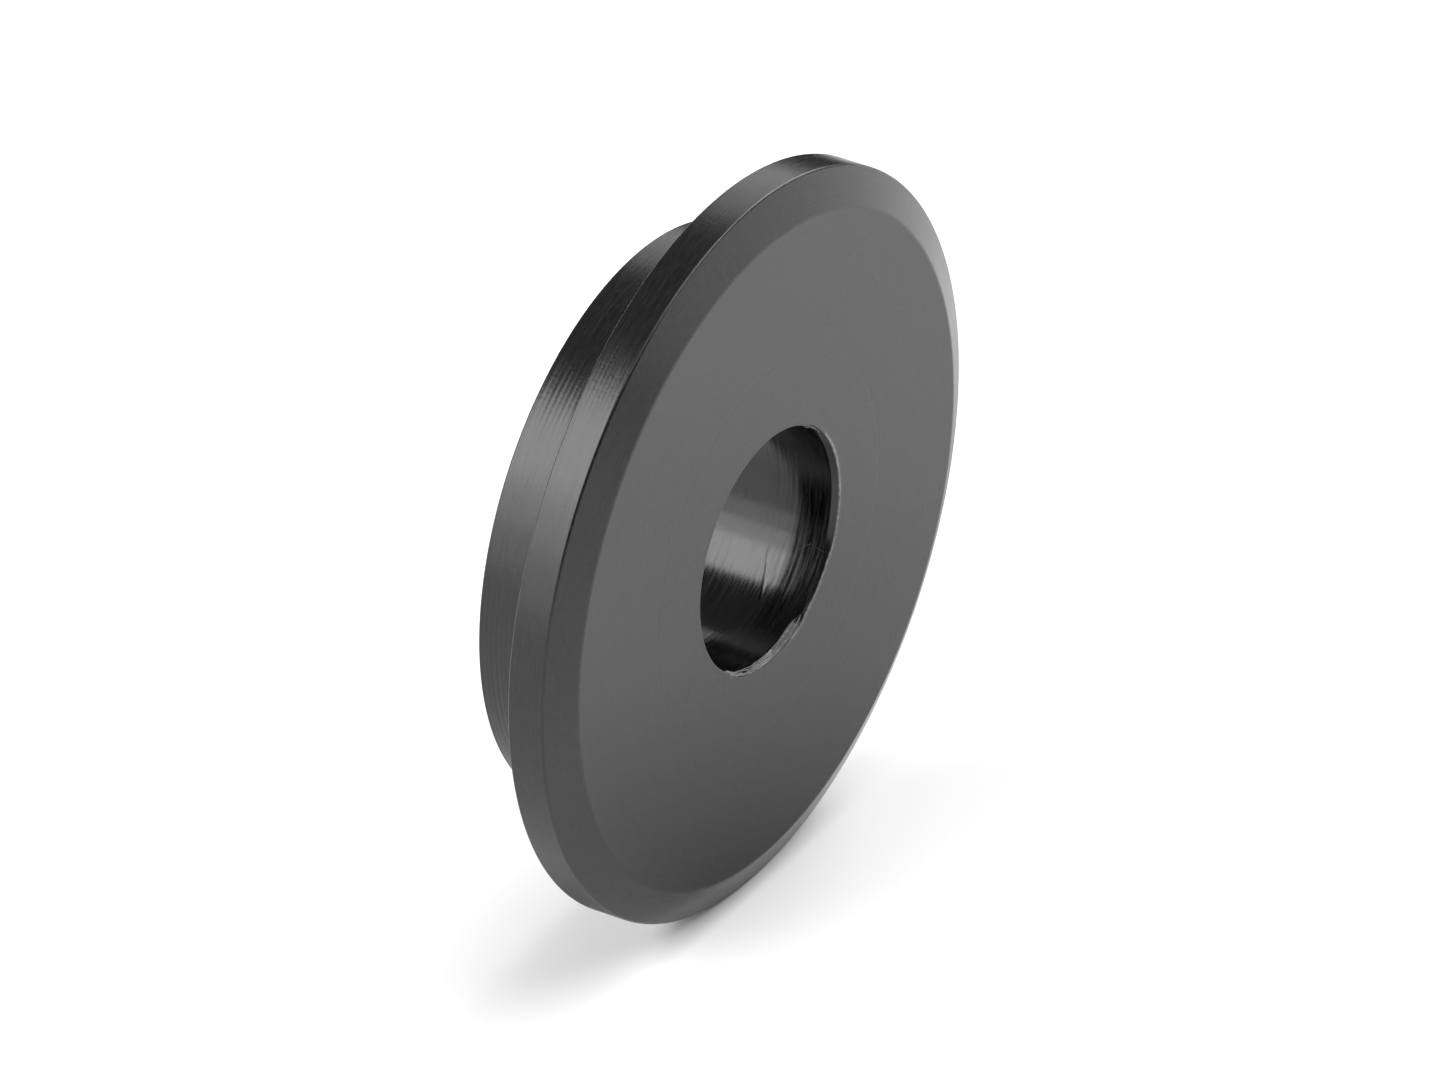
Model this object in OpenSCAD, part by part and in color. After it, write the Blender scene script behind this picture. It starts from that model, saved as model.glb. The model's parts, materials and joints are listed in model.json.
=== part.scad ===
// Flanged bush, turned from one length of round bar.
// A flange with a bevelled front edge carries a plain spigot, and a bore runs through both.
// The bore lies along Y. The flange's seating face is the plane y = 0: the flange reaches
// towards -Y and the spigot towards +Y.

/* [Flange] */
// Outside diameter of the flange
flange_d = 40; // [34:0.5:60]
// Thickness of the flange, from its front face to its seating face
flange_t = 3; // [2.5:0.1:8]
// Width of the bevel round the front face, along the radius
bevel_w = 2; // [0.5:0.1:3]
// Depth of the bevel, along the axis
bevel_t = 0.9; // [0.3:0.1:1.5]

/* [Spigot] */
// Outside diameter of the spigot
spigot_d = 30.5; // [20:0.5:33]
// Length of the spigot behind the flange
spigot_l = 4.75; // [2:0.25:20]

/* [Bore] */
// Diameter of the bore, a clearance hole for a 12 mm stud
bore_d = 13; // [5:0.5:18]
// Width of the edge break at each mouth of the bore
mouth_break = 0.2; // [0.1:0.05:0.4]

/* [Finish] */
// Width of the edge break on the rim's back edge and on the spigot's free edge
edge_break = 0.1; // [0.05:0.05:0.3]

/* [Hidden] */

plastic = "#2c2e2e";
round_fn = 180;
bore_overrun = 1;

flange_r = flange_d / 2;
spigot_r = spigot_d / 2;
bore_r = bore_d / 2;
front_y = -flange_t;
end_y = spigot_l;

// Turns an outline of [radius, y] points about the Y axis.
module turned(outline) {
    rotate([-90, 0, 0])
        rotate_extrude($fn = round_fn)
            polygon(outline);
}

// A disc with its front edge bevelled and its back edge broken.
module flange() {
    turned([
        [0, front_y],
        [flange_r - bevel_w, front_y],
        [flange_r, front_y + bevel_t],
        [flange_r, -edge_break],
        [flange_r - edge_break, 0],
        [0, 0]
    ]);
}

// A plain round boss. It starts at the front face, so that it overlaps the flange.
module spigot() {
    turned([
        [0, front_y],
        [spigot_r, front_y],
        [spigot_r, end_y - edge_break],
        [spigot_r - edge_break, end_y],
        [0, end_y]
    ]);
}

// The hole, with a 45 degree edge break at each mouth.
module bore() {
    wide_r = bore_r + mouth_break + bore_overrun;
    turned([
        [0, front_y - bore_overrun],
        [wide_r, front_y - bore_overrun],
        [bore_r, front_y + mouth_break],
        [bore_r, end_y - mouth_break],
        [wide_r, end_y + bore_overrun],
        [0, end_y + bore_overrun]
    ]);
}

module flanged_bush() {
    color(plastic)
        difference() {
            union() {
                flange();
                spigot();
            }
            bore();
        }
}

flanged_bush();
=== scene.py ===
import json
import math
import random

import bpy
from mathutils import Matrix, Vector


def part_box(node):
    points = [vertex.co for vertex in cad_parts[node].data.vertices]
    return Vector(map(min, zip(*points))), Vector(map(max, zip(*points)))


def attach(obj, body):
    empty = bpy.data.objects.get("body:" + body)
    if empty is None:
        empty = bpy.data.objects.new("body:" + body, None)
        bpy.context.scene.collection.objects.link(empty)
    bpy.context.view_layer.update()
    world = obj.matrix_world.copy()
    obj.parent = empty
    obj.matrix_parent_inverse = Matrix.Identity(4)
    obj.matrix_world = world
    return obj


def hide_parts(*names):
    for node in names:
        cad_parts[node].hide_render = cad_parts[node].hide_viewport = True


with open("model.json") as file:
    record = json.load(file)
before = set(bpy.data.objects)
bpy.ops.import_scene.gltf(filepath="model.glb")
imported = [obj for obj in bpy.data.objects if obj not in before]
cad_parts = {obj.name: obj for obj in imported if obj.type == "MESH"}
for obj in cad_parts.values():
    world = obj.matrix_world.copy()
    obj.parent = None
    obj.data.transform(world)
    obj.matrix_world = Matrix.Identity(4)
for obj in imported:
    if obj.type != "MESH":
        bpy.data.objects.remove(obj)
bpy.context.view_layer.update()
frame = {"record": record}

NODE = "flanged_bush"
MM = 0.001
TURN = 2 * math.pi
LOW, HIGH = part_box(NODE)
MOUNTS = {mount["name"]: mount for mount in frame["record"]["mounts"]}

# The bush is round about the Y axis: its front face looks towards -Y, and its seat lies at y = 0.
# Angles go clockwise from +Z as seen from the front, so x = r sin(angle) and z = r cos(angle).
FLANGE_R = HIGH.x
SPIGOT_R = MOUNTS["spigot"]["dims"]["r_mm"] * MM
BORE_R = MOUNTS["bore"]["dims"]["r_mm"] * MM
LIP = 0.07 * MM
FRONT_Y = LOW.y + LIP
SEAT_Y = MOUNTS["flange_seat"]["pos_m"][1]
END_Y = HIGH.y
BEVEL_W = 2.0 * MM
BEVEL_T = 0.9 * MM
BEVEL_CORNER = 0.06 * MM
EDGE_BREAK = 0.1 * MM
MOUTH_BREAK = 0.2 * MM
ROOT_R = 0.2 * MM
WALL_R = BORE_R - 0.07 * MM
FLARE_L = 2.2 * MM
FLARE_SLOPE = 0.042
SEGMENTS = 240

# The facing tool paused here: a shallow ring, and from there out the face lies a little lower.
RING_R = 0.5314 * FLANGE_R
RING_HALF_W = 0.09 * MM
RING_DEPTH = 0.003 * MM
FACE_STEP = 0.0015 * MM

# The slanting score in the bore: depth behind the face where it starts, and its run per degree.
SCORE_START = 3.25 * MM
SCORE_START_ANGLE = 126
SCORE_RUN = 0.031 * MM
SCORE_DEPTH = 0.012 * MM
SCORE_HALF_W = 0.055 * MM

# Turning feeds, along Y for each turn of the work, and the deepest mark each leaves.
RIM_FEED = 0.24 * MM
RIM_DEPTH = 0.0050 * MM
SPIGOT_FEED = 0.288 * MM
SPIGOT_DEPTH = 0.0110 * MM
BORE_FEED = 0.30 * MM
BORE_DEPTH = 0.0040 * MM

# The finish, and the room that lights it.
PLASTIC_IOR = 1.49
RELIEF_STRENGTH = 0.25
RELIEF_DISTANCE = 0.014 * MM
FLOOR_GREY = 0.86
FLOOR_R = 1.1
MATT = 0.9
WHITE = (1, 1, 1, 1)
ROOM_LIGHT = 0.20
ROOM_SEEN = 1.1
BOX_DISTANCE = 1.5

# The camera: a long lens, far away. The shifts put the object where the frame wants it.
LENS = 500
SENSOR = 36
VIEW_AZIMUTH = -58.16
VIEW_ELEVATION = 32.09
VIEW_DISTANCE = 50.45 * FLANGE_R
SHIFT_LEFT = 0.126 * FLANGE_R
SHIFT_UP = 0.027 * FLANGE_R


def radians(degrees):
    return math.radians(degrees)


def smooth(value, low, high):
    """0 below low and 1 above high, with an S curve between."""
    t = min(1.0, max(0.0, (value - low) / (high - low)))
    return t * t * (3 - 2 * t)


def angle_from(angle, centre):
    """The signed distance round the axis from centre to angle, both in degrees."""
    return (angle - centre + 180) % 360 - 180


def bump(offset, half_width):
    """1 at no offset, falling smoothly to 0 at the half width."""
    return 1 - smooth(abs(offset), 0, half_width)


def wander(seed, waves, lowest):
    """A repeatable wavy function of an angle in degrees, which stays between -1 and 1."""
    draw = random.Random(seed)
    parts = [
        (lowest + k, draw.uniform(0.4, 1.0), draw.uniform(0, TURN)) for k in range(waves)
    ]
    total = sum(size for _, size, _ in parts)

    def value(angle):
        turn = radians(angle)
        return sum(size * math.sin(n * turn + shift) for n, size, shift in parts) / total

    return value


# ---------------------------------------------------------------- the turned surface


class Feed:
    """The helical marks of one turning cut. Each turn is a shallow valley of its own depth."""

    def __init__(self, seed, pitch, depth, variation):
        draw = random.Random(seed)
        self.pitch = pitch
        self.depths = [depth * (1 - variation * draw.random()) for _ in range(97)]

    def at(self, distance, angle):
        """Depth below the crests at a distance along the cut and an angle in degrees."""
        turns = distance / self.pitch + angle / 360
        whole = math.floor(turns)
        part = turns - whole
        return self.depths[whole % len(self.depths)] * (1 - (2 * part - 1) ** 2)


RIM_MARKS = Feed(11, RIM_FEED, RIM_DEPTH, 0.7)
SPIGOT_MARKS = Feed(23, SPIGOT_FEED, SPIGOT_DEPTH, 0.8)
BORE_MARKS = Feed(37, BORE_FEED, BORE_DEPTH, 0.7)
MOUTH_WAVE = wander(5, 6, 2)
MOUTH_JAGS = wander(8, 30, 17)


def spread(start, stop, count):
    """count + 1 evenly spaced values from start to stop."""
    return [start + (stop - start) * k / count for k in range(count + 1)]


def mouth_depth(angle):
    """How deep the hand-made edge break goes at the front mouth of the bore."""
    angle = angle % 360
    scraped = 0.23 * smooth(angle, 34, 39) * (1 - smooth(angle, 113, 124))
    torn = smooth(angle, 148, 156) * (1 - smooth(angle, 205, 217))
    torn = torn * (0.36 + 0.12 * MOUTH_JAGS(angle))
    return (0.04 + 0.010 * MOUTH_WAVE(angle) + scraped + torn) * MM


def mouth_radius(angle):
    """Radius at which the edge break meets the front face."""
    wide = min(0.9 * mouth_depth(angle), 0.17 * MM)
    return WALL_R + flare(FRONT_Y) + 0.01 * MM + wide


def mouth_lip(angle):
    """Height of the burr that stands round the front mouth, highest on the right."""
    right = smooth(angle, 30, 85) * (1 - smooth(angle, 148, 172))
    return LIP * (0.05 + 0.90 * right + 0.05 * MOUTH_JAGS(angle + 40))


def front_mouth(angle):
    """From the bore's wall out to the front face, over the low round burr on its edge."""
    depth = mouth_depth(angle)
    lip = mouth_lip(angle)
    wall = WALL_R + flare(FRONT_Y + depth)
    outer = mouth_radius(angle)
    wide = outer - wall
    inside = [
        (wall - 0.001 * MM, FRONT_Y + depth + 0.04 * MM),
        (wall + 0.02 * wide, FRONT_Y + depth),
        (wall + 0.15 * wide, FRONT_Y + 0.86 * depth),
        (wall + 0.50 * wide, FRONT_Y + 0.48 * depth),
        (wall + 0.90 * wide, FRONT_Y + 0.08 * depth),
    ]
    crest = (
        (0.0, 0.50), (0.03, 0.85), (0.07, 1.0), (0.11, 0.92),
        (0.15, 0.60), (0.19, 0.26), (0.23, 0.06), (0.28, 0.0),
    )
    return inside + [(outer + along * MM, FRONT_Y - part * lip) for along, part in crest]


def front_face(angle):
    """The faced surface, with one shallow witness ring where the facing tool paused."""
    start = mouth_radius(angle) + 0.45 * MM
    half = RING_HALF_W
    stop = FLANGE_R - BEVEL_W
    level = FRONT_Y + FACE_STEP
    inner = [(r, FRONT_Y) for r in spread(start, RING_R - 2 * half, 6)]
    groove = [
        (RING_R - half, FRONT_Y),
        (RING_R - 0.4 * half, FRONT_Y + RING_DEPTH),
        (RING_R + 0.4 * half, FRONT_Y + RING_DEPTH),
        (RING_R + half, level),
    ]
    outer = [(r, level) for r in spread(RING_R + 2 * half, stop - 0.3 * MM, 10)]
    return inner + groove + outer + [(stop - 0.12 * MM, level)]


def bevel(angle):
    """The conical front edge, with both of its corners slightly broken."""
    steep = BEVEL_T / BEVEL_W
    inner = FLANGE_R - BEVEL_W
    corner = BEVEL_CORNER
    cone = [
        (r, FRONT_Y + (r - inner) * steep)
        for r in spread(inner + 2 * corner, FLANGE_R - 2 * corner, 8)
    ]
    edge = FRONT_Y + BEVEL_T
    return (
        [(inner - corner, FRONT_Y + FACE_STEP), (inner + corner, FRONT_Y + corner * steep)]
        + cone
        + [
            (FLANGE_R - 1.2 * corner, edge - 1.2 * corner * steep),
            (FLANGE_R - 0.6 * corner, edge + 0.05 * corner),
            (FLANGE_R - 0.2 * corner, edge + 0.6 * corner),
            (FLANGE_R - 0.02 * corner, edge + 1.3 * corner),
        ]
    )


def rim(angle):
    """The flange's plain outer wall, with its turning marks."""
    start = FRONT_Y + BEVEL_T + 0.10 * MM
    stop = SEAT_Y - EDGE_BREAK - 0.02 * MM
    count = round((stop - start) / RIM_FEED * 6)
    return [
        (FLANGE_R - RIM_MARKS.at(y - start, angle), y) for y in spread(start, stop, count)
    ]


def flange_back(angle):
    """The rim's broken back edge and the seating face, down to the spigot's root."""
    r = FLANGE_R
    b = EDGE_BREAK
    edge = [
        (r - b * (1 - math.cos(t)), SEAT_Y - b * (1 - math.sin(t)))
        for t in spread(0, radians(90), 4)
    ]
    flat_stop = SPIGOT_R + ROOT_R
    flat = [(x, SEAT_Y) for x in spread(r - 2 * b, flat_stop + 0.1 * MM, 8)]
    root = [
        (flat_stop - ROOT_R * math.sin(t), SEAT_Y + ROOT_R * (1 - math.cos(t)))
        for t in spread(0, radians(90), 5)
    ]
    return edge + flat + root


def spigot(angle):
    """The spigot's outer wall, with deeper turning marks than the rim's."""
    start = SEAT_Y + ROOT_R + 0.03 * MM
    stop = END_Y - EDGE_BREAK - 0.02 * MM
    count = round((stop - start) / SPIGOT_FEED * 6)
    return [
        (SPIGOT_R - SPIGOT_MARKS.at(y - start, angle), y) for y in spread(start, stop, count)
    ]


def spigot_end(angle):
    """The spigot's broken edge, its end face and the back mouth of the bore."""
    b = EDGE_BREAK
    edge = [
        (SPIGOT_R - b * (1 - math.cos(t)), END_Y - b * (1 - math.sin(t)))
        for t in spread(0, radians(90), 4)
    ]
    stop = BORE_R + MOUTH_BREAK
    flat = [(r, END_Y) for r in spread(SPIGOT_R - 2 * b, stop + 0.05 * MM, 12)]
    chamfer = [
        (BORE_R + MOUTH_BREAK * part, END_Y - MOUTH_BREAK * (1 - part))
        for part in (1.0, 0.9, 0.5, 0.1, 0.0)
    ]
    return edge + flat + chamfer


def scratch(y, angle):
    """A slanting score in the bore, left by a chip that was dragged out."""
    along = smooth(angle, 122, 127) * (1 - smooth(angle, 146, 158))
    centre = FRONT_Y + SCORE_START - SCORE_RUN * (angle - SCORE_START_ANGLE)
    return SCORE_DEPTH * along * math.exp(-(((y - centre) / SCORE_HALF_W) ** 2))


def flare(y):
    """How far the bore opens towards its front mouth, where the drill wandered in."""
    depth = max(0.0, FRONT_Y + FLARE_L - y)
    blend_in = 0.25 * MM
    return FLARE_SLOPE * (math.sqrt(depth * depth + blend_in * blend_in) - blend_in)


def bore(angle):
    """The bore's wall, from the back mouth to the front one."""
    fine = FRONT_Y + 3.7 * MM
    stop = FRONT_Y + mouth_depth(angle) + 0.08 * MM
    places = spread(END_Y - 0.25 * MM, fine, 54) + spread(fine, stop, 72)[1:]
    rows = []
    for y in places:
        near_front = 1 - smooth(y - FRONT_Y, 1.5 * MM, 2.3 * MM)
        rough_side = bump(angle_from(angle, 136), 30)
        marks = BORE_MARKS.at(y, angle) * (0.6 + 0.25 * near_front * rough_side)
        rows.append((WALL_R + flare(y) + marks + scratch(y, angle % 360), y))
    return rows


def outline(angle):
    """One section of the whole ring, as (radius, y) points in order round the metal."""
    parts = (
        front_mouth, front_face, bevel, rim, flange_back, spigot, spigot_end, bore,
    )
    return [point for part in parts for point in part(angle)]


def turned_body():
    """The ring's closed mesh: one outline for each step round the axis."""
    vertices = []
    for step in range(SEGMENTS):
        angle = 360 * step / SEGMENTS
        s, c = math.sin(radians(angle)), math.cos(radians(angle))
        vertices += [(r * s, y, r * c) for r, y in outline(angle)]
    count = len(vertices) // SEGMENTS
    faces = []
    for step in range(SEGMENTS):
        here = step * count
        there = (step + 1) % SEGMENTS * count
        for k in range(count):
            after = (k + 1) % count
            faces.append((here + k, here + after, there + after, there + k))
    return mesh_piece("bush_turned_body", vertices, faces)


def sliver(stations):
    """Vertices and faces of a thin closed strand. Each station gives the angle, the radius, the
    depth behind the front face, and the cross-section's half length along the bore and its
    thickness along the radius."""
    vertices = []
    for angle, r, depth, half, thick in stations:
        s, c = math.sin(radians(angle)), math.cos(radians(angle))
        y = FRONT_Y + depth
        ring = [(0, half), (-0.8 * thick, 0.5 * half), (-thick, -0.3 * half), (0, -half), (thick, 0)]
        vertices += [((r + dr) * s, y + dy, (r + dr) * c) for dr, dy in ring]
    faces = [tuple(range(5))]
    for start in range(0, len(vertices) - 5, 5):
        for k in range(5):
            after = (k + 1) % 5
            faces.append((start + k, start + after, start + 5 + after, start + 5 + k)[::-1])
    last = len(vertices) - 5
    faces.append(tuple(range(last + 4, last - 1, -1)))
    return vertices, faces


def torn_strand(draw, first, last, depth, half, thick):
    """One ragged strand of plastic, pulled loose along the torn part of the mouth."""
    count = max(4, round((last - first) / 1.2))
    wobble = wander(draw.randrange(10 ** 6), 5, 20)
    stations = []
    for k, angle in enumerate(spread(first, last, count)):
        swell = (0.25 + 0.75 * math.sin(math.pi * k / count)) * draw.uniform(0.6, 1.1)
        behind = max(depth * (1 + 0.3 * wobble(angle)), half * swell - 0.8 * LIP)
        outer = mouth_radius(angle)
        share = min(1.0, max(0.0, behind / mouth_depth(angle)))
        r = outer - share * (outer - WALL_R - flare(FRONT_Y + behind))
        stations.append((angle, r, behind, half * swell, thick * swell))
    return sliver(stations)


def lip_strand_with_highlight():
    """The frayed edge that runs along the crest of the lip, at its lower right. Its pale colour is
    partly a painted highlight, for the lip's bright reflection there.
    """
    stations = []
    for angle in spread(100, 160, 75):
        ends = smooth(angle, 100, 118) * (1 - smooth(angle, 146, 160))
        thick = (0.004 + 0.046 * ends * (1 + 0.3 * MOUTH_JAGS(2.3 * angle))) * MM
        depth = 0.021 * MM - mouth_lip(angle)
        stations.append((angle, mouth_radius(angle) + 0.10 * MM, depth, 0.020 * MM, thick))
    return sliver(stations)


def mouth_burrs():
    """All the torn strands of the front mouth, as one piece."""
    draw = random.Random(61)
    vertices, faces = lip_strand_with_highlight()
    for first, last, depth, half, thick in (
        (34, 44, 0.17, 0.12, 0.06), (38, 50, 0.10, 0.07, 0.04),
        (150, 163, 0.13, 0.08, 0.03), (153, 170, 0.30, 0.09, 0.03),
        (159, 181, 0.10, 0.07, 0.05), (166, 190, 0.25, 0.09, 0.04),
        (176, 200, 0.36, 0.07, 0.03), (180, 206, 0.15, 0.10, 0.04),
        (186, 213, 0.30, 0.08, 0.05), (194, 214, 0.10, 0.07, 0.10),
        (199, 212, 0.22, 0.06, 0.12), (206, 219, 0.07, 0.06, 0.16),
    ):
        strand, shapes = torn_strand(draw, first, last, depth * MM, half * MM, thick * MM)
        start = len(vertices)
        vertices += strand
        faces += [tuple(start + k for k in shape) for shape in shapes]
    return mesh_piece("bush_mouth_burrs", vertices, faces)


def bore_hair():
    """A fine bent shaving that clings to the bore's wall just inside the mouth."""
    stations = []
    for t in spread(0, 1, 24):
        bend = 5.0 * (t / 0.45) if t < 0.45 else 5.0 - 2.0 * (t - 0.45) / 0.55
        angle = 122.5 - bend
        depth = (1.68 - 1.45 * t) * MM
        r = WALL_R + flare(FRONT_Y + depth) - 0.004 * MM
        stations.append((angle, r, depth, 0.012 * MM, 0.010 * MM))
    vertices, faces = sliver(stations)
    return mesh_piece("bush_bore_shaving", vertices, faces)


def mesh_piece(name, vertices, faces):
    """A smooth-shaded object made of those vertices and faces."""
    mesh = bpy.data.meshes.new(name)
    mesh.from_pydata(vertices, [], faces)
    mesh.update()
    mesh.shade_smooth()
    piece = bpy.data.objects.new(name, mesh)
    bpy.context.scene.collection.objects.link(piece)
    return piece


# ---------------------------------------------------------------- materials


def new_material(name):
    """A new material, with its nodes, its links and its main shader."""
    material = bpy.data.materials.new(name)
    material.use_nodes = True
    nodes = material.node_tree.nodes
    links = material.node_tree.links
    return material, nodes, links, nodes["Principled BSDF"]


def maths(nodes, links, operation, first, second=None):
    """A Math node. Its inputs are sockets or numbers."""
    node = nodes.new("ShaderNodeMath")
    node.operation = operation
    for socket, value in zip(node.inputs, (first, second)):
        if value is None:
            continue
        if isinstance(value, (int, float)):
            socket.default_value = value
        else:
            links.new(value, socket)
    return node.outputs[0]


def turning_coordinates(nodes, links, across, around):
    """A vector that changes fast across the turning marks and slowly round them."""
    place = nodes.new("ShaderNodeTexCoord").outputs["Object"]
    split = nodes.new("ShaderNodeSeparateXYZ")
    links.new(place, split.inputs[0])
    x, y, z = split.outputs
    square = maths(nodes, links, "ADD",
                   maths(nodes, links, "MULTIPLY", x, x),
                   maths(nodes, links, "MULTIPLY", z, z))
    radius = maths(nodes, links, "SQRT", square)
    profile = maths(nodes, links, "ADD", radius, y)
    join = nodes.new("ShaderNodeCombineXYZ")
    links.new(maths(nodes, links, "MULTIPLY", profile, across), join.inputs[0])
    for socket, side in ((join.inputs[1], x), (join.inputs[2], z)):
        share = maths(nodes, links, "DIVIDE", side, radius)
        links.new(maths(nodes, links, "MULTIPLY", share, around), socket)
    return join.outputs[0], place, radius


def noise(nodes, links, vector, scale, detail):
    """A noise pattern, from about 0.3 to 0.7 over most of its area."""
    node = nodes.new("ShaderNodeTexNoise")
    node.inputs["Scale"].default_value = scale
    node.inputs["Detail"].default_value = detail
    links.new(vector, node.inputs["Vector"])
    return node.outputs["Fac"]


def ramp(nodes, links, value, stops):
    """A colour ramp with (position, grey or colour) stops."""
    node = nodes.new("ShaderNodeValToRGB")
    elements = node.color_ramp.elements
    while len(elements) < len(stops):
        elements.new(0.5)
    for element, (position, colour) in zip(elements, stops):
        element.position = position
        if isinstance(colour, (int, float)):
            colour = (colour, colour, colour)
        element.color = (*colour, 1)
    links.new(value, node.inputs[0])
    return node.outputs[0]


def normal_along_axis(nodes, links):
    """The part of the surface's normal that lies along the bore."""
    split = nodes.new("ShaderNodeSeparateXYZ")
    links.new(nodes.new("ShaderNodeTexCoord").outputs["Normal"], split.inputs[0])
    return split.outputs[1]


def mix_colour(nodes, links, share, first, second):
    """The first colour where the share is 0, and the second where it is 1."""
    mix = nodes.new("ShaderNodeMixRGB")
    for socket, value in zip(mix.inputs, (share, first, second)):
        links.new(value, socket)
    return mix.outputs[0]


def plastic_patterns(nodes, links):
    """The noises that the plastic's finish is mixed from, and where each part of it applies."""
    grain_place, place, radius = turning_coordinates(nodes, links, 5200.0, 9.0)
    chatter_place, _, _ = turning_coordinates(nodes, links, 260.0, 75.0)
    line_place, _, _ = turning_coordinates(nodes, links, 8200.0, 26.0)
    drill_place, _, _ = turning_coordinates(nodes, links, 9500.0, 3.5)
    patterns = {
        "grain": noise(nodes, links, grain_place, 1.0, 3.0),
        "chatter": noise(nodes, links, chatter_place, 1.0, 3.0),
        "line": noise(nodes, links, line_place, 1.0, 3.0),
        "drilled": noise(nodes, links, drill_place, 1.0, 2.0),
        "mottle": noise(nodes, links, place, 4600.0, 3.0),
        "speckle": noise(nodes, links, place, 5200.0, 2.0),
    }
    along_axis = maths(nodes, links, "ABSOLUTE", normal_along_axis(nodes, links))
    outside = maths(nodes, links, "GREATER_THAN", radius, 2 * BORE_R)
    side = maths(nodes, links, "LESS_THAN", along_axis, 0.4)
    split = nodes.new("ShaderNodeSeparateXYZ")
    links.new(place, split.inputs[0])
    zones = {
        "outside": outside,
        "outer_wall": maths(nodes, links, "MULTIPLY", outside, side),
        "in_bore": maths(nodes, links, "LESS_THAN", radius, BORE_R + 0.12 * MM),
        "flat": maths(nodes, links, "GREATER_THAN", along_axis, 0.95),
        # The lip's crest, where the colour holds a painted highlight as well as whitened plastic.
        "crest": maths(nodes, links, "LESS_THAN", split.outputs[1], FRONT_Y - 0.35 * LIP),
    }
    return patterns, zones


def plastic_colour(nodes, links, patterns, zones):
    """Near black everywhere, but pale along the crest of the mouth's lip: partly whitened plastic,
    partly a painted highlight for the lip's bright edge line.
    """
    faced = ramp(nodes, links, patterns["speckle"],
                 [(0.3, (0.0002, 0.0003, 0.0003)), (0.7, (0.0098, 0.0104, 0.0101))])
    lined = ramp(nodes, links, patterns["line"],
                 [(0.35, (0.0008, 0.0010, 0.0009)), (0.68, (0.0066, 0.0072, 0.0069))])
    bored = ramp(nodes, links, patterns["drilled"],
                 [(0.35, (0.0005, 0.0006, 0.0005)), (0.68, (0.0040, 0.0044, 0.0042))])
    # Pale crest colour: whitened plastic and a painted highlight on the lip's edge.
    crest_whitening_and_highlight = ramp(nodes, links, patterns["speckle"],
                    [(0.35, (0.040, 0.042, 0.041)), (0.65, (0.150, 0.155, 0.152))])
    colour = mix_colour(nodes, links, zones["outer_wall"], faced, lined)
    colour = mix_colour(nodes, links, zones["in_bore"], colour, bored)
    return mix_colour(nodes, links, zones["crest"], colour, crest_whitening_and_highlight)


def plastic_roughness(nodes, links, patterns, zones):
    turned = ramp(nodes, links, patterns["grain"], [(0.2, 0.21), (0.8, 0.29)])
    bored = ramp(nodes, links, patterns["drilled"], [(0.35, 0.12), (0.68, 0.26)])
    return mix_colour(nodes, links, zones["in_bore"], turned, bored)


def plastic_relief(nodes, links, patterns, zones):
    """The finest relief, too small for the mesh: each pattern only where its tool worked."""
    height = 0.0
    for pattern, zone, share in (
        ("grain", "outside", 0.25), ("speckle", "flat", 1.0), ("chatter", "outer_wall", 0.8),
        ("mottle", "outside", 0.55), ("drilled", "in_bore", 0.15), ("speckle", "outer_wall", 1.0),
    ):
        part = maths(nodes, links, "MULTIPLY", patterns[pattern],
                     maths(nodes, links, "MULTIPLY", zones[zone], share))
        height = maths(nodes, links, "ADD", part, height)
    relief = nodes.new("ShaderNodeBump")
    relief.inputs["Strength"].default_value = RELIEF_STRENGTH
    relief.inputs["Distance"].default_value = RELIEF_DISTANCE
    links.new(height, relief.inputs["Height"])
    return relief.outputs[0]


def black_plastic():
    """Machined black acetal: satin, with fine turning lines and a faint mottle."""
    material, nodes, links, shader = new_material("machined_black_acetal")
    patterns, zones = plastic_patterns(nodes, links)
    links.new(plastic_colour(nodes, links, patterns, zones), shader.inputs["Base Color"])
    links.new(plastic_roughness(nodes, links, patterns, zones), shader.inputs["Roughness"])
    links.new(plastic_relief(nodes, links, patterns, zones), shader.inputs["Normal"])
    shader.inputs["IOR"].default_value = PLASTIC_IOR
    return material


def torn_plastic_and_lip_highlight():
    """The same plastic where it was torn: paler and duller than the turned surface. On the lip's
    strand that paleness is also a painted highlight.
    """
    material, nodes, links, shader = new_material("torn_black_acetal_and_lip_highlight")
    place = nodes.new("ShaderNodeTexCoord").outputs["Object"]
    blotch = noise(nodes, links, place, 6000.0, 2.0)
    colour = ramp(nodes, links, blotch,
                  [(0.3, (0.065, 0.068, 0.067)), (0.7, (0.210, 0.216, 0.213))])
    links.new(colour, shader.inputs["Base Color"])
    shader.inputs["Roughness"].default_value = 0.5
    shader.inputs["IOR"].default_value = PLASTIC_IOR
    return material


def pale_floor_material():
    """Matt near-white, without a shine."""
    material, nodes, links, shader = new_material("pale_floor")
    shader.inputs["Base Color"].default_value = (FLOOR_GREY, FLOOR_GREY, FLOOR_GREY, 1)
    shader.inputs["Roughness"].default_value = MATT
    shader.inputs["Specular IOR Level"].default_value = 0.0
    return material


# ---------------------------------------------------------------- stage


def direction(azimuth, elevation):
    a, e = radians(azimuth), radians(elevation)
    return Vector((math.sin(a) * math.cos(e), -math.cos(a) * math.cos(e), math.sin(e)))


def aim(obj, azimuth, elevation, distance):
    """Stands obj at that place, facing the origin."""
    back = direction(azimuth, elevation)
    obj.location = back * distance
    obj.rotation_mode = "QUATERNION"
    obj.rotation_quaternion = (-back).to_track_quat("-Z", "Y")


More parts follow.
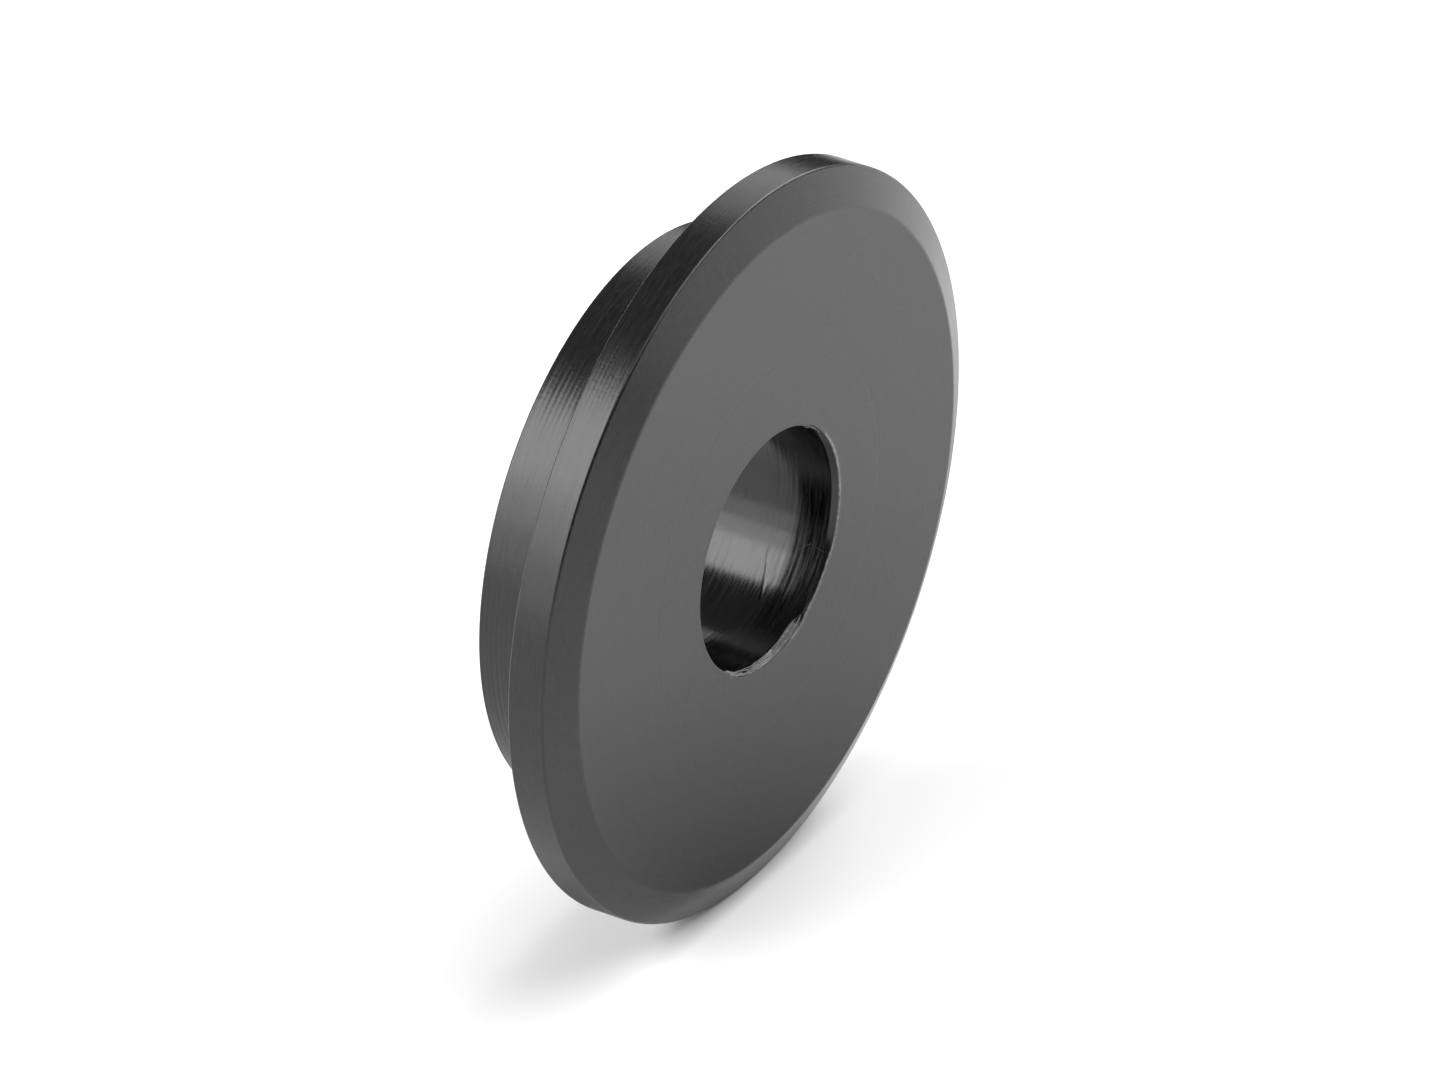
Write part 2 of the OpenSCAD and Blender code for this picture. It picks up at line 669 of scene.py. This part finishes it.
def soft_box(name, azimuth, elevation, wide, tall, radiance):
    """A rectangular soft box that covers wide by tall degrees and shines evenly."""
    light = bpy.data.lights.new(name, "AREA")
    light.shape = "RECTANGLE"
    light.size = 2 * BOX_DISTANCE * math.tan(radians(wide / 2))
    light.size_y = 2 * BOX_DISTANCE * math.tan(radians(tall / 2))
    light.energy = radiance * math.pi * light.size * light.size_y
    obj = bpy.data.objects.new(name, light)
    bpy.context.scene.collection.objects.link(obj)
    aim(obj, azimuth, elevation, BOX_DISTANCE)
    obj.visible_camera = False


def floor():
    """A round white floor. It ends where the lights fade, and the white room takes over."""
    edge = [direction(turn, 0) * FLOOR_R for turn in range(0, 360, 5)]
    corners = [(point.x, point.y, LOW.z) for point in edge]
    piece = mesh_piece("pale_floor", corners, [tuple(range(len(corners)))])
    piece.data.materials.append(pale_floor_material())


def dark_card(name, azimuth, distance, width, height):
    """A black card standing on the floor, out of the camera's view, that darkens a reflection."""
    back = direction(azimuth, 0)
    side = Vector((back.y, -back.x, 0)) * (width / 2)
    foot = back * distance + Vector((0, 0, LOW.z))
    top = foot + Vector((0, 0, height))
    corners = [foot - side, foot + side, top + side, top - side]
    piece = mesh_piece(name, corners, [(0, 1, 2, 3)])
    material, nodes, links, shader = new_material(name)
    shader.inputs["Base Color"].default_value = (0.01, 0.01, 0.01, 1)
    shader.inputs["Roughness"].default_value = MATT
    piece.data.materials.append(material)
    seen_in_reflections_only(piece)


def seen_in_reflections_only(piece):
    """A card's tone shows in the plastic's shine, but it casts no shade of its own."""
    piece.visible_camera = False
    piece.visible_diffuse = False
    piece.visible_shadow = False


def shade_card(name, x, y, reach, before, behind, tone):
    """A flat grey card on the floor, centred at x and y. Only reflections see it, so it stands
    for a soft shade on the floor. It fades into the floor's own tone at its reach. Its front and
    back edges are at the before and behind distances, so that no two cards overlap."""
    corners = [(-reach, -before, 0), (reach, -before, 0), (reach, behind, 0), (-reach, behind, 0)]
    piece = mesh_piece(name, corners, [(0, 1, 2, 3)])
    piece.location = (x, y, LOW.z + 0.05 * MM)
    material, nodes, links, shader = new_material(name)
    distance = nodes.new("ShaderNodeVectorMath")
    distance.operation = "LENGTH"
    links.new(nodes.new("ShaderNodeTexCoord").outputs["Object"], distance.inputs[0])
    share = maths(nodes, links, "DIVIDE", distance.outputs["Value"], reach)
    grey = ramp(nodes, links, share, [(0.1, tone), (0.80, FLOOR_GREY)])
    links.new(grey, shader.inputs["Base Color"])
    shader.inputs["Roughness"].default_value = MATT
    shader.inputs["Specular IOR Level"].default_value = 0.0
    piece.data.materials.append(material)
    seen_in_reflections_only(piece)


def room():
    """A dim even room that looks white where the camera sees past the floor."""
    world = bpy.data.worlds.new("studio")
    world.use_nodes = True
    nodes, links = world.node_tree.nodes, world.node_tree.links
    dim = nodes["Background"]
    dim.inputs["Color"].default_value = WHITE
    dim.inputs["Strength"].default_value = ROOM_LIGHT
    white = nodes.new("ShaderNodeBackground")
    white.inputs["Color"].default_value = WHITE
    white.inputs["Strength"].default_value = ROOM_SEEN
    seen = nodes.new("ShaderNodeLightPath").outputs["Is Camera Ray"]
    mix = nodes.new("ShaderNodeMixShader")
    links.new(seen, mix.inputs[0])
    links.new(dim.outputs[0], mix.inputs[1])
    links.new(white.outputs[0], mix.inputs[2])
    links.new(mix.outputs[0], nodes["World Output"].inputs[0])
    bpy.context.scene.world = world


def camera():
    """A long lens from the front left and above, with no roll."""
    data = bpy.data.cameras.new("camera")
    data.lens = LENS
    data.sensor_width = SENSOR
    back = direction(VIEW_AZIMUTH, VIEW_ELEVATION)
    right = Vector((0, 0, 1)).cross(back).normalized()
    up = back.cross(right)
    face_centre = Vector((0, LOW.y, 0))
    aimed_at = face_centre - right * SHIFT_LEFT + up * SHIFT_UP
    obj = bpy.data.objects.new("camera", data)
    bpy.context.scene.collection.objects.link(obj)
    turn = Matrix((right, up, back)).transposed()
    obj.matrix_world = Matrix.Translation(aimed_at + back * VIEW_DISTANCE) @ turn.to_4x4()
    bpy.context.scene.camera = obj


def studio():
    """The floor, the room, the cards and every light. Each box gives its azimuth, its elevation,
    its width and height in degrees, and how bright it is."""
    floor()
    shade_card("card_front_shade", -2 * MM, LOW.y, 28 * MM, 28 * MM, 0.0, 0.46)
    shade_card("card_right_shade", 38 * MM, 7 * MM, 34 * MM, 9.5 * MM, 34 * MM, 0.46)
    shade_card("card_rim_shade", -10 * MM, 3.5 * MM, 9 * MM, 6 * MM, 9 * MM, 0.30)
    room()
    soft_box("box_overhead", 20, 81, 50, 32, 2.7)
    soft_box("box_right_upper", 58, 48, 66, 16, 5.8)
    soft_box("box_right_side", 92, 26, 34, 26, 4.2)
    soft_box("box_right_low", 42, 8, 44, 18, 1.5)
    soft_box("box_left_front_low", -62, 3, 40, 8, 1.2)
    soft_box("box_left_upper", -128, 42.5, 44, 27, 6.5)
    soft_box("box_left_middle", -124, 21, 40, 16, 4.1)
    soft_box("box_left_lower", -124, 4, 40, 16, 2.5)
    soft_box("box_right_back", 121, 24, 14, 34, 1.4)
    dark_card("card_right_back", 115, 0.12, 0.07, 0.05)
    bpy.context.scene.view_settings.view_transform = "Standard"


# ---------------------------------------------------------------- the scene

camera()
studio()

body = turned_body()
body.data.materials.append(black_plastic())
burrs = mouth_burrs()
hair = bore_hair()
# The pale burr material also carries the lip strand's painted highlight.
burrs.data.materials.append(torn_plastic_and_lip_highlight())
hair.data.materials.append(burrs.data.materials[0])
for piece in (body, burrs, hair):
    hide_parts(NODE)
    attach(piece, "root")
